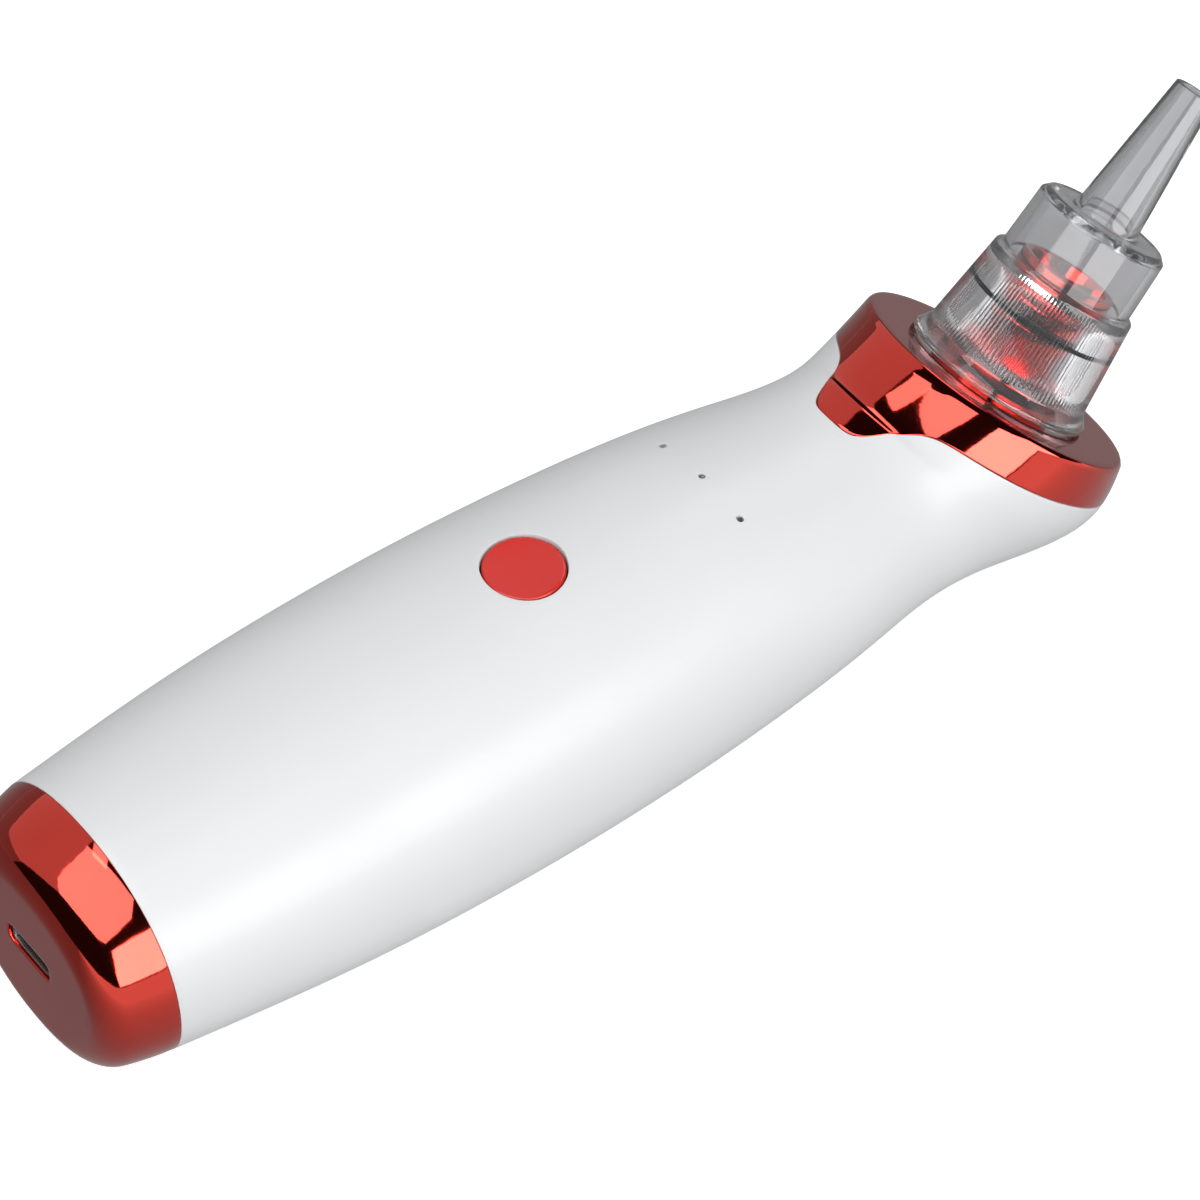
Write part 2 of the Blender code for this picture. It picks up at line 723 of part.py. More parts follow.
def pump(frame, black, rubber, white, steel):
    left, right = PUMP_X
    low, high = PUMP_Z
    wide = PUMP_HALF_WIDTH
    case = add_object("pump_crankcase", box((left, -wide, low), (right, wide, high), 0.4), black, frame)
    cavity = bmesh.new()
    add_box(cavity, (left + 1.9, -6.0, low + 1.2), (right - 1.9, 6.0, high + 2.0))
    boolean(case, as_cutter(add_object("crank_space", cavity, black, frame)), "DIFFERENCE")
    shaft_hole = box((left - 1.0, -1.6, AXIS_Z - 1.6), (left + 3.0, 1.6, AXIS_Z + 1.6))
    boolean(case, as_cutter(add_object("shaft_hole", shaft_hole, black, frame)), "DIFFERENCE")

    holes = cylinders(1.0, low + 3.0, high + 12.0, PUMP_SCREWS, 8)
    screw_holes = as_cutter(add_object("screw_holes", holes, black, frame))
    membrane_low = high + GAP
    plate_low = membrane_low + 1.0 + GAP
    cover_low = plate_low + 1.5 + GAP
    cover_high = cover_low + 3.9
    layers = (
        ("pump_diaphragm", membrane_low, membrane_low + 1.0, rubber),
        ("valve_plate", plate_low, plate_low + 1.5, white),
        ("pump_cover", cover_low, cover_high, black),
    )
    stack = {}
    for name, bottom, top, paint in layers:
        layer = box((left, -wide, bottom), (right, wide, top), 0.2)
        stack[name] = add_object(name, layer, paint, frame)
    nipple = disc(NIPPLE_RADIUS, right - 0.6, right + 5.0, 16)
    passage = disc(0.9, right - 6.0, right + 6.0, 10)
    port = empty("nipple_axis", (0.0, 0.0, 7.0), frame, 90.0)
    cover = stack["pump_cover"]
    boolean(cover, as_cutter(add_object("inlet_nipple", nipple, black, port)), "UNION")
    boolean(cover, as_cutter(add_object("inlet_passage", passage, black, port)), "DIFFERENCE")
    chamber = disc(4.5, cover_low - 1.0, cover_low + 1.6, 20)
    space = add_object("cover_chamber", chamber, black, frame, (98.0, 0.0, 0.0))
    boolean(cover, as_cutter(space), "DIFFERENCE")
    ports = cylinders(0.9, plate_low - 1.0, plate_low + 2.5, [(98.0, 2.2), (98.0, -2.2)], 8)
    valve_ports = as_cutter(add_object("valve_ports", ports, white, frame))
    boolean(stack["valve_plate"], valve_ports, "DIFFERENCE")
    for item in (case, *stack.values()):
        boolean(item, screw_holes, "DIFFERENCE")
    for number, (x, y) in enumerate(PUMP_SCREWS, 1):
        profile = [
            (0.0, low + 4.0),
            (0.7, low + 4.0),
            (0.7, cover_high + GAP),
            (1.3, cover_high + GAP),
            (1.3, cover_high + 1.1),
            (0.0, cover_high + 1.1),
        ]
        add_object(f"pump_screw_{number}", turned(profile, 12), steel, frame, (x, y, 0.0))


def tube_and_wires(frame, silicone, red, black):
    # the tube slips over both nipples, and is drawn as a skin that gets its wall
    lean = math.radians(HEAD_TILT)

    def on_axis(height):
        return (SEAT_X + math.cos(lean) * height, 0.0, SEAT_Z + math.sin(lean) * height)

    route = [
        (106.8, 0.0, 7.0),
        (109.0, 0.0, 7.0),
        (111.3, 0.0, 6.9),
        (114.7, 0.0, 4.6),
        (117.6, 0.0, 0.4),
        (120.6, 0.0, -4.3),
        (124.6, 0.0, -7.6),
        (128.8, 0.0, -7.2),
        on_axis(NIPPLE_END + 0.4),
        on_axis(NIPPLE_END + 3.0),
        on_axis(-4.8),
    ]
    tube = swept("suction_tube", route, 3.0, 2.6, 3, silicone, frame, capped=False)
    thicken(tube, 0.9)
    routes = {
        "battery_lead_red": [(60.4, 0.0, -1.5), (60.4, 2.0, 4.5), (57.0, 3.5, 8.6), (50.0, 3.5, 9.9)],
        "battery_lead_black": [(14.2, 3.0, -0.2), (14.1, 3.4, 4.4), (20.0, 4.6, 8.2), (47.5, 5.0, 9.9)],
        "motor_lead_red": [(61.3, 6.0, -1.0), (60.8, 8.6, 3.0), (62.5, 8.6, 7.6), (65.0, 7.0, 9.9)],
        "motor_lead_black": [(61.3, -6.0, -1.0), (60.8, -8.6, 3.0), (62.5, -8.6, 7.6), (65.0, -7.0, 9.9)],
    }
    for name, points in routes.items():
        swept(name, points, 0.6, 2.6, 1, red if name.endswith("red") else black, frame)


# --- The whole object -----------------------------------------------------------------------


def set_down(frame):
    # rests the lowest point on the ground, with the middle of its length over the origin
    bpy.context.view_layer.update()
    state = bpy.context.evaluated_depsgraph_get()
    lengthwise = []
    heights = []
    for item in bpy.data.objects:
        if item.type == "MESH" and not item.hide_render:
            shown = item.evaluated_get(state)
            places = [shown.matrix_world @ vert.co for vert in shown.data.vertices]
            lengthwise += [place.x for place in places]
            heights += [place.z for place in places]
    frame.location.x = -(min(lengthwise) + max(lengthwise)) / 2
    frame.location.z = -min(heights)


def main():
    clear_scene()
    white = material("gloss_white", (0.83, 0.84, 0.85), 0.25)
    red_chrome = material("red_chrome", (0.55, 0.05, 0.04), 0.12, 1.0)
    button_red = material("button_red", (0.62, 0.04, 0.03), 0.2)
    clear = material("clear_plastic", (0.8, 0.82, 0.83), 0.05, 0.0, 0.35)
    rubber = material("black_rubber", (0.03, 0.03, 0.03), 0.6)
    foam = material("grey_foam", (0.6, 0.6, 0.58), 0.9)
    steel = material("steel", (0.6, 0.6, 0.6), 0.35, 1.0)
    dark = material("black_plastic", (0.03, 0.03, 0.03), 0.4)
    green = material("board_green", (0.02, 0.18, 0.08), 0.5)
    copper = material("copper", (0.7, 0.32, 0.15), 0.4, 1.0)
    brass = material("brass", (0.7, 0.5, 0.2), 0.35, 1.0)
    wrap = material("blue_wrap", (0.05, 0.15, 0.5), 0.4)
    silicone = material("silicone", (0.75, 0.74, 0.7), 0.5)
    wire_red = material("wire_red", (0.6, 0.03, 0.03), 0.4)
    white_plastic = material("white_plastic", (0.75, 0.75, 0.73), 0.5)

    frame = empty("frame", (0.0, 0.0, 0.0))
    head = empty("head_axis", (SEAT_X, 0.0, SEAT_Z), frame, 90.0 - HEAD_TILT)
    pump_axis = empty("pump_axis", (0.0, 0.0, AXIS_Z), frame, 90.0)

    front_housing(frame, white)
    rear_cover(frame, white)
    base_cap(frame, red_chrome)
    head_collar(frame, red_chrome)
    suction_boss(head, red_chrome)
    o_ring(head, rubber)
    suction_head(head, clear)
    filter_sponge(head, foam)
    power_button(frame, button_red, dark)
    indicator_lights(frame, clear, white_plastic)
    control_board(frame, green, steel)
    charging_board(frame, green, steel, dark)
    battery(frame, wrap, steel)
    motor(pump_axis, steel, dark, copper)
    crank(pump_axis, brass, white_plastic)
    pump(frame, dark, rubber, white_plastic, steel)
    tube_and_wires(frame, silicone, wire_red, dark)
    set_down(frame)


main()
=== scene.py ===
import math

import bmesh
import bpy
import numpy as np
from mathutils import Matrix, Vector


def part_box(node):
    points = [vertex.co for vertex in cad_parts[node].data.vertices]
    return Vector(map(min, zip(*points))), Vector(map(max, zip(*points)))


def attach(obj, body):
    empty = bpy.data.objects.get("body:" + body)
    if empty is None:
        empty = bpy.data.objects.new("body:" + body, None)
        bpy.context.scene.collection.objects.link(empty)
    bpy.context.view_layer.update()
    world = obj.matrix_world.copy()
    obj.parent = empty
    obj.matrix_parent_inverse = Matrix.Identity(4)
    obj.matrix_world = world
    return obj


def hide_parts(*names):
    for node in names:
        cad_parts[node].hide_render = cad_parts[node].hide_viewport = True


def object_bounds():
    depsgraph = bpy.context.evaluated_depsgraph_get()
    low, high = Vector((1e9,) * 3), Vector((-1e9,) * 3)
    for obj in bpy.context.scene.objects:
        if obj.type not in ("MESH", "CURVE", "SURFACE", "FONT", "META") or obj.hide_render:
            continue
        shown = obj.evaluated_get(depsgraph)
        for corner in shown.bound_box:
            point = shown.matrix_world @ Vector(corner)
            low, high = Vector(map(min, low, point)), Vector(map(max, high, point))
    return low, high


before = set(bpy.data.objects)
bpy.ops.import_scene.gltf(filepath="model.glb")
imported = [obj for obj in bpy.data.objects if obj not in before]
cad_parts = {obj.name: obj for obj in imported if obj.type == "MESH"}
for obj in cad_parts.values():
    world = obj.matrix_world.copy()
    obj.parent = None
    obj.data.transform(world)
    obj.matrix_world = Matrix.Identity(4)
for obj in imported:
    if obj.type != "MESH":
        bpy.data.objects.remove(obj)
frameLow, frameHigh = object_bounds()
print("frame loaded,", len(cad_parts), "nodes")

# Pieces are shaped in millimetres: X from the base to the head, Z up through the button.
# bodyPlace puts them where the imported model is, headPlace does so for what sits on the tilted head.
body = {
    # centre x, centre z, tilt, half width, front depth, back depth, fullness
    "sections": (
        (8.3, 0.0, 0.0, 17.5, 16.4, 14.1, 2.15),
        (30.0, 0.0, 0.0, 19.95, 18.1, 16.1, 2.15),
        (50.0, 0.0, 0.0, 20.8, 19.1, 17.8, 2.15),
        (70.0, 0.0, 0.0, 20.6, 19.0, 18.5, 2.15),
        (90.0, 0.0, 0.0, 19.35, 17.9, 18.4, 2.15),
        (107.8, 0.1, 11.2, 17.55, 15.8, 16.3, 2.12),
        (123.9, -0.7, 26.3, 16.0, 17.45, 17.1, 2.1),
        (135.7, -0.65, 46.8, 18.4, 22.6, 20.0, 2.0),
        (140.0, 5.1, 49.1, 18.3, 18.3, 18.3, 2.0),
    ),
    "restDepth": 18.0,  # the back is flat this far below the centre line, where it lies on a table
    "motorAxisDrop": 4.5,  # the motor's axis is this far below the body's centre line
    "seat": (140.0, 0.0, 5.1),
    "headTilt": 49.1,
}
shaftLow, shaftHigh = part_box("motor_shaft")
centreLineZ = (shaftLow.z + shaftHigh.z) / 2 + body["motorAxisDrop"] / 1000
bodyPlace = Matrix.Translation((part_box("base_cap")[0].x, 0.0, centreLineZ)) @ Matrix.Scale(0.001, 4)
headTurn = Matrix.Rotation(math.radians(90 - body["headTilt"]), 4, "Y")
headPlace = bodyPlace @ Matrix.Translation(body["seat"]) @ headTurn


# Camera and stage

camera = {
    "target": (65.0, 0.0, 0.0),
    "azimuth": -37.254,
    "elevation": 49.508,
    "roll": 0.434,
    "distance": 0.5549,
    "lens": 144.0,
    "shift": (0.083, 0.0734),
}


def direction(azimuth, elevation):
    # azimuth 0 looks from the right side of the object, 90 from the head
    turn, lift = math.radians(azimuth), math.radians(elevation)
    return Vector((math.sin(turn) * math.cos(lift), -math.cos(turn) * math.cos(lift), math.sin(lift)))


def addCamera():
    lens = bpy.data.cameras.new("camera")
    lens.lens = camera["lens"]
    lens.shift_x, lens.shift_y = camera["shift"]
    lens.clip_start = 0.01
    view = bpy.data.objects.new("camera", lens)
    away = direction(camera["azimuth"], camera["elevation"])
    facing = (-away).to_track_quat("-Z", "Y").to_matrix().to_4x4()
    place = Matrix.Translation(bodyPlace @ Vector(camera["target"]) + away * camera["distance"])
    view.matrix_world = place @ facing @ Matrix.Rotation(math.radians(camera["roll"]), 4, "Z")
    bpy.context.scene.collection.objects.link(view)
    bpy.context.scene.camera = view


addCamera()
print("camera placed")


# Mesh helpers


def cubicThrough(knots, rows):
    # natural cubic spline with one row of values at each knot
    step = np.diff(knots)
    slope = np.diff(rows, axis=0) / step[:, None]
    matrix = np.eye(len(knots))
    right = np.zeros(rows.shape)
    for i in range(1, len(knots) - 1):
        matrix[i, i - 1 : i + 2] = step[i - 1], 2 * (step[i - 1] + step[i]), step[i]
        right[i] = 6 * (slope[i] - slope[i - 1])
    bend = np.linalg.solve(matrix, right)

    def value(s):
        i = int(np.clip(np.searchsorted(knots, s) - 1, 0, len(knots) - 2))
        before = (knots[i + 1] - s) / step[i]
        after = 1 - before
        curve = (before**3 - before) * bend[i] + (after**3 - after) * bend[i + 1]
        return before * rows[i] + after * rows[i + 1] + curve * step[i] ** 2 / 6

    return value


sectionRows = np.array(body["sections"])
sectionSteps = np.linalg.norm(np.diff(sectionRows[:, :2], axis=0), axis=1)
sectionKnots = np.concatenate([[0.0], np.cumsum(sectionSteps)])
bodyStart = sectionRows[0][0]
bodyEnd = float(sectionKnots[-1])
bodySection = cubicThrough(sectionKnots, sectionRows)


def sectionPoint(section, angle, inset=0.0):
    # angle in degrees from the front centre line
    x, z, tilt, halfWidth, front, back, fullness = section
    side, lift = math.sin(math.radians(angle)), math.cos(math.radians(angle))
    depth = front if lift > 0 else back
    y = (halfWidth - inset) * math.copysign(abs(side) ** (2 / fullness), side)
    height = (depth - inset) * math.copysign(abs(lift) ** (2 / fullness), lift)
    lean = math.radians(tilt)
    lowered = max(z + math.cos(lean) * height, -body["restDepth"])
    return Vector((x - math.sin(lean) * height, y, lowered))


def frontHeight(x, y):
    # height of the front surface over a point
    s = x - bodyStart
    for _ in range(6):
        section = bodySection(s)
        angle = math.degrees(math.asin(math.copysign((abs(y) / section[3]) ** (section[6] / 2), y)))
        spot = sectionPoint(section, angle)
        s += x - spot.x
    return spot.z


def columnAngles(first, last, columns):
    # angles in degrees, closer together where the collar's tongue turns down
    fine = np.linspace(first, last, 2001)
    crowd = 1 + 3.0 * np.exp(-(((np.abs(fine) - 17.5) / 5.5) ** 2))
    travelled = np.concatenate([[0.0], np.cumsum((crowd[1:] + crowd[:-1]) / 2)])
    return np.interp(np.linspace(0, travelled[-1], columns + 1), travelled, fine)


def bentGrid(columns, rows, place, closed=False):
    # a grid bent onto a surface, open at its first and last row
    bm = bmesh.new()
    bmesh.ops.create_grid(bm, x_segments=columns, y_segments=rows, size=0.5)
    for vert in bm.verts:
        vert.co = place(round((vert.co.x + 0.5) * columns), round((vert.co.y + 0.5) * rows))
    if closed:
        bmesh.ops.remove_doubles(bm, verts=bm.verts, dist=0.0005)
    bmesh.ops.reverse_faces(bm, faces=bm.faces)
    return bm


def roundOpening(bm, faces, centre, radius, rings, heightAt):
    # takes the faces away and draws the opening's edge in to a round rim
    border = {}
    for face in faces:
        for edge in face.edges:
            border[edge] = border.get(edge, 0) + 1
    rim = [edge for edge, uses in border.items() if uses == 1]
    bmesh.ops.delete(bm, geom=faces, context="FACES")
    for left in range(rings, 0, -1):
        made = bmesh.ops.extrude_edge_only(bm, edges=rim)["geom"]
        rim = [item for item in made if isinstance(item, bmesh.types.BMEdge) and item.is_boundary]
        for vert in [item for item in made if isinstance(item, bmesh.types.BMVert)]:
            way = Vector((vert.co.x - centre[0], vert.co.y - centre[1]))
            reach = way.length + (radius - way.length) / left
            spot = Vector(centre) + way.normalized() * reach
            vert.co = (spot.x, spot.y, heightAt(spot.x, spot.y))
    return rim


def turned(profile, steps):
    # a closed outline of (radius, height) points, spun about Z
    bm = bmesh.new()
    verts = [bm.verts.new((radius, 0.0, height)) for radius, height in profile]
    pairs = list(zip(verts, verts[1:]))
    if profile[0][0] > 0 or profile[-1][0] > 0:
        pairs.append((verts[-1], verts[0]))
    edges = [bm.edges.new(pair) for pair in pairs]
    bmesh.ops.spin(
        bm,
        geom=verts + edges,
        cent=(0, 0, 0),
        axis=(0, 0, 1),
        angle=math.tau,
        steps=steps,
        use_merge=True,
    )
    bmesh.ops.remove_doubles(bm, verts=bm.verts, dist=0.0005)
    bmesh.ops.recalc_face_normals(bm, faces=bm.faces)
    return bm


def bevelSharp(bm, width, segments=3, sharperThan=25):
    sharp = [edge for edge in bm.edges if edge.calc_face_angle(0.0) > math.radians(sharperThan)]
    bmesh.ops.bevel(
        bm,
        geom=sharp,
        offset=width,
        offset_type="OFFSET",
        affect="EDGES",
        segments=segments,
        profile=0.5,
        material=-1,
        clamp_overlap=True,
    )


def addBox(bm, low, high):
    middle = (Vector(low) + Vector(high)) / 2
    placed = Matrix.Translation(middle) @ Matrix.Diagonal((*(Vector(high) - Vector(low)), 1.0))
    return bmesh.ops.create_cube(bm, size=1.0, matrix=placed)["verts"]


def addPiece(name, bm, place, paint, rideOn, slot, nodes, wall=0.0, edge=0.0, sharp=40):
    bmesh.ops.transform(bm, matrix=place, verts=bm.verts)
    mesh = bpy.data.meshes.new(name)
    bm.to_mesh(mesh)
    bm.free()
    mesh.shade_smooth()
    mesh.materials.append(paint)
    piece = bpy.data.objects.new(name, mesh)
    bpy.context.scene.collection.objects.link(piece)
    if wall:
        shell = piece.modifiers.new("wall", "SOLIDIFY")
        shell.thickness = wall / 1000
        shell.offset = -1.0
        shell.use_even_offset = True
    if edge:
        rounding = piece.modifiers.new("edge", "BEVEL")
        rounding.width = edge / 1000
        rounding.segments = 2
        rounding.limit_method = "ANGLE"
        rounding.angle_limit = math.radians(50)
    else:
        mesh.set_sharp_from_angle(angle=math.radians(sharp))
    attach(piece, rideOn)
    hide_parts(*nodes)
    return piece


# Materials


def makeGroup(name, inputs, outputs):
    group = bpy.data.node_groups.new(name, "ShaderNodeTree")
    for label, kind, value in inputs:
        socket = group.interface.new_socket(name=label, in_out="INPUT", socket_type=kind)
        if value is not None:
            socket.default_value = value
    for label, kind in outputs:
        group.interface.new_socket(name=label, in_out="OUTPUT", socket_type=kind)
    return group, group.nodes.new("NodeGroupInput"), group.nodes.new("NodeGroupOutput")


def addNoise(tree, vector, scale, detail, roughness=0.5):
    noise = tree.nodes.new("ShaderNodeTexNoise")
    noise.inputs["Detail"].default_value = detail
    noise.inputs["Roughness"].default_value = roughness
    tree.links.new(vector, noise.inputs["Vector"])
    if isinstance(scale, (int, float)):
        noise.inputs["Scale"].default_value = scale
    else:
        tree.links.new(scale, noise.inputs["Scale"])
    return noise


def makeDriftGroup():
    # slow changes over the surface, for colour and gloss
    group, given, result = makeGroup(
        "drift",
        (("Vector", "NodeSocketVector", None), ("Scale", "NodeSocketFloat", 40.0)),
        (("Mask", "NodeSocketFloat"),),
    )
    noise = addNoise(group, given.outputs["Vector"], given.outputs["Scale"], 3.0)
    spread = group.nodes.new("ShaderNodeMapRange")
    spread.inputs["From Min"].default_value = 0.3
    spread.inputs["From Max"].default_value = 0.7
    group.links.new(noise.outputs["Fac"], spread.inputs["Value"])
    group.links.new(spread.outputs["Result"], result.inputs["Mask"])
    return group


def makeGrainGroup():
    # the fine skin that a moulding tool or a polish leaves
    group, given, result = makeGroup(
        "grain",
        (
            ("Vector", "NodeSocketVector", None),
            ("Fine", "NodeSocketFloat", 4000.0),
            ("Broad", "NodeSocketFloat", 160.0),
        ),
        (("Height", "NodeSocketFloat"),),
    )
    fine = addNoise(group, given.outputs["Vector"], given.outputs["Fine"], 2.0)
    broad = addNoise(group, given.outputs["Vector"], given.outputs["Broad"], 1.0)
    mix = group.nodes.new("ShaderNodeMath")
    mix.operation = "MULTIPLY_ADD"
    mix.inputs[1].default_value = 6.0
    group.links.new(broad.outputs["Fac"], mix.inputs[0])
    group.links.new(fine.outputs["Fac"], mix.inputs[2])
    group.links.new(mix.outputs["Value"], result.inputs["Height"])
    return group


driftGroup = makeDriftGroup()
grainGroup = makeGrainGroup()


def addFinish(name, finish):
    # one moulded, plated or turned finish: two close colours, two glosses and a fine skin
    paint = bpy.data.materials.new(name + "Finish")
    paint.use_nodes = True
    tree = paint.node_tree
    shader = tree.nodes["Principled BSDF"]
    place = tree.nodes.new("ShaderNodeTexCoord")
    drift = tree.nodes.new("ShaderNodeGroup")
    drift.node_tree = driftGroup
    drift.inputs["Scale"].default_value = finish.get("driftScale", 60.0)
    tree.links.new(place.outputs["Object"], drift.inputs["Vector"])
    colour = tree.nodes.new("ShaderNodeMix")
    colour.data_type = "RGBA"
    colour.inputs["A"].default_value = (*finish["colour"], 1.0)
    colour.inputs["B"].default_value = (*finish["shade"], 1.0)
    tree.links.new(drift.outputs["Mask"], colour.inputs["Factor"])
    tree.links.new(colour.outputs["Result"], shader.inputs["Base Color"])
    gloss = tree.nodes.new("ShaderNodeMapRange")
    gloss.inputs["To Min"].default_value, gloss.inputs["To Max"].default_value = finish["roughness"]
    tree.links.new(drift.outputs["Mask"], gloss.inputs["Value"])
    tree.links.new(gloss.outputs["Result"], shader.inputs["Roughness"])
    grain = tree.nodes.new("ShaderNodeGroup")
    grain.node_tree = grainGroup
    grain.inputs["Fine"].default_value = finish.get("fine", 4000.0)
    grain.inputs["Broad"].default_value = finish.get("broad", 160.0)
    tree.links.new(place.outputs["Object"], grain.inputs["Vector"])
    bump = tree.nodes.new("ShaderNodeBump")
    bump.inputs["Strength"].default_value = finish.get("bump", 0.1)
    bump.inputs["Distance"].default_value = finish.get("depth", 0.00002)
    tree.links.new(grain.outputs["Height"], bump.inputs["Height"])
    tree.links.new(bump.outputs["Normal"], shader.inputs["Normal"])
    for socket, value in finish.get("shader", {}).items():
        shader.inputs[socket].default_value = value
    return paint


finishes = {
    "gloss_white": {
        "colour": (0.672, 0.677, 0.687),
        "shade": (0.657, 0.662, 0.672),
        "roughness": (0.30, 0.36),
        "shader": {"Specular IOR Level": 0.15, "Coat Weight": 0.03, "Coat Roughness": 0.12},
    },
    "red_chrome": {
        "colour": (0.60, 0.040, 0.024),
        "shade": (0.54, 0.034, 0.020),
        "roughness": (0.05, 0.08),
        "fine": 700.0,
        "broad": 110.0,
        "bump": 0.45,
        "shader": {"Metallic": 1.0, "Coat Weight": 0.45, "Coat Roughness": 0.03, "Coat IOR": 1.5},
    },
    "button_red": {
        "colour": (0.60, 0.024, 0.017),
        "shade": (0.55, 0.02, 0.014),
        "roughness": (0.18, 0.24),
        "shader": {"Specular IOR Level": 0.35, "Coat Weight": 0.1, "Coat Roughness": 0.06},
    },
    "clear_plastic": {
        "colour": (0.90, 0.91, 0.93),
        "shade": (0.88, 0.89, 0.91),
        "roughness": (0.02, 0.05),
        "fine": 900.0,
        "bump": 0.02,
        "shader": {"Transmission Weight": 0.96, "IOR": 1.45, "Specular IOR Level": 0.2},
    },
    "black_rubber": {
        "colour": (0.008, 0.008, 0.008),
        "shade": (0.014, 0.014, 0.014),
        "roughness": (0.5, 0.65),
        "bump": 0.3,
        "shader": {"Specular IOR Level": 0.2},
    },
    "grey_foam": {
        "colour": (0.58, 0.58, 0.56),
        "shade": (0.30, 0.30, 0.29),
        "roughness": (0.9, 1.0),
        "driftScale": 1600.0,
        "fine": 2200.0,
        "bump": 1.0,
        "depth": 0.0003,
    },
    "white_plastic": {
        "colour": (0.72, 0.72, 0.70),
        "shade": (0.66, 0.66, 0.63),
        "roughness": (0.4, 0.5),
    },
    "black_plastic": {
        "colour": (0.022, 0.022, 0.024),
        "shade": (0.035, 0.035, 0.036),
        "roughness": (0.38, 0.5),
        "bump": 0.3,
    },
    "board_green": {
        "colour": (0.015, 0.16, 0.07),
        "shade": (0.02, 0.24, 0.11),
        "roughness": (0.3, 0.4),
        "driftScale": 500.0,
    },
    # steel: both colours well below bare steel, painted shade so the charging slot reads dark inside; the
    # hidden steel nodes get the same darkened finish
    "steel": {
        "colour": (0.24, 0.24, 0.235),
        "shade": (0.17, 0.17, 0.17),
        "roughness": (0.22, 0.32),
        "shader": {"Metallic": 1.0},
    },
    "copper": {
        "colour": (0.72, 0.32, 0.16),
        "shade": (0.50, 0.20, 0.09),
        "roughness": (0.3, 0.42),
        "driftScale": 900.0,
        "shader": {"Metallic": 1.0},
    },
    "brass": {
        "colour": (0.75, 0.54, 0.24),
        "shade": (0.64, 0.44, 0.18),
        "roughness": (0.24, 0.34),
        "shader": {"Metallic": 1.0},
    },
    "blue_wrap": {
        "colour": (0.03, 0.12, 0.50),
        "shade": (0.025, 0.10, 0.43),
        "roughness": (0.28, 0.36),
    },
    "wire_red": {
        "colour": (0.55, 0.02, 0.02),
        "shade": (0.46, 0.018, 0.018),
        "roughness": (0.35, 0.45),
    },
    "silicone": {
        "colour": (0.72, 0.72, 0.69),
        "shade": (0.64, 0.64, 0.60),
        "roughness": (0.4, 0.5),
        "shader": {"Subsurface Weight": 0.2},
    },
}
paints = {name: addFinish(name, finish) for name, finish in finishes.items()}
print("finishes made")


# Housing

housing = {
    "columns": 216,
    "straightRows": 92,
    "wavyRows": 60,
    "straightEnd": 101.0,  # along the body, where the rows begin to follow the collar's edge
    "start": 0.03,
    "collarGap": 0.1,
    "wall": 1.6,
    "edge": 0.09,
    "splitAngle": 135.0,
    "rearColumns": 72,
    "rearMargin": 0.42,  # degrees, half of the seam between the two halves
}
button = {
    "x": 68.2,
    "radius": 4.84,
    "top": 18.75,
    "gap": 0.26,
    "dish": 0.22,
    "rounding": 0.35,
    "flange": (6.0, 15.4, 16.1),  # radius, bottom and top
    "steps": 96,
}
lights = {"x": 93.9, "spacing": 7.14, "hole": 0.46, "pipe": 0.38}
collar = {
    "band": 5.6,
    "tongue": 13.3,
    "tongueHalfWidth": 5.7,
    "squareness": 5.8,
    "columns": 264,
    "bandRows": 26,
    "roundingSteps": 5,
    "seatRadius": 18.3,
    "seatEdge": 0.5,
    "bossHole": 8.6,
    "wall": 1.6,  # its wavy edge isn't bevelled, because a bevel folds where the tongue turns
}


def collarEdge(angle, clearance):
    # walks down the surface from the seat until it has gone as deep as the collar is there
    step = 0.2
    s = bodyEnd
    point = sectionPoint(bodySection(s), angle)
    walked = 0.0
    short = 0.0
    away = min(abs(angle) % 360, 360 - abs(angle) % 360)
    while True:
        depth = collar["band"]
        if away <= 90:
            share = 1 / (1 + abs(point.y / collar["tongueHalfWidth"]) ** collar["squareness"])
            depth += (collar["tongue"] - collar["band"]) * share
        left = depth + clearance - walked
        if left <= 0:
            return s + step * left / (left - short)
        short = left
        s -= step
        below = sectionPoint(bodySection(s), angle)
        walked += (below - point).length
        point = below


def housingSkin(first, last, columns):
    angles = columnAngles(first, last, columns)
    edges = [collarEdge(angle, housing["collarGap"]) for angle in angles]
    straight = housing["straightRows"]
    rows = straight + housing["wavyRows"]

    def place(column, row):
        if row <= straight:
            s = housing["start"] + (housing["straightEnd"] - housing["start"]) * row / straight
        else:
            share = (row - straight) / housing["wavyRows"]
            s = housing["straightEnd"] + (edges[column] - housing["straightEnd"]) * share
        return sectionPoint(bodySection(s), angles[column])

    return bentGrid(columns, rows, place)


def addHousing():
    split = housing["splitAngle"]
    bm = housingSkin(-split, split, housing["columns"])
    openings = [(button["x"], 0.0, button["radius"] + button["gap"], 6.6, 4)]
    for y in (-lights["spacing"], 0.0, lights["spacing"]):
        openings.append((lights["x"], y, lights["hole"], 1.7, 3))
    for x, y, radius, reach, rings in openings:
        near = []
        for face in bm.faces:
            middle = face.calc_center_median()
            if middle.z > 0 and abs(middle.x - x) < reach and abs(middle.y - y) < reach:
                near.append(face)
        roundOpening(bm, near, (x, y), radius, rings, frontHeight)
    white = paints["gloss_white"]
    shell = {"wall": housing["wall"], "edge": housing["edge"]}
    addPiece("frontHousing", bm, bodyPlace, white, "housing", "gloss_white", ["front_housing"], **shell)
    margin = housing["rearMargin"]
    bm = housingSkin(split + margin, 360 - split - margin, housing["rearColumns"])
    addPiece("rearCover", bm, bodyPlace, white, "housing", "gloss_white", ["rear_cover"], **shell)


addHousing()
print("housing made")


# Base cap with the charging slot

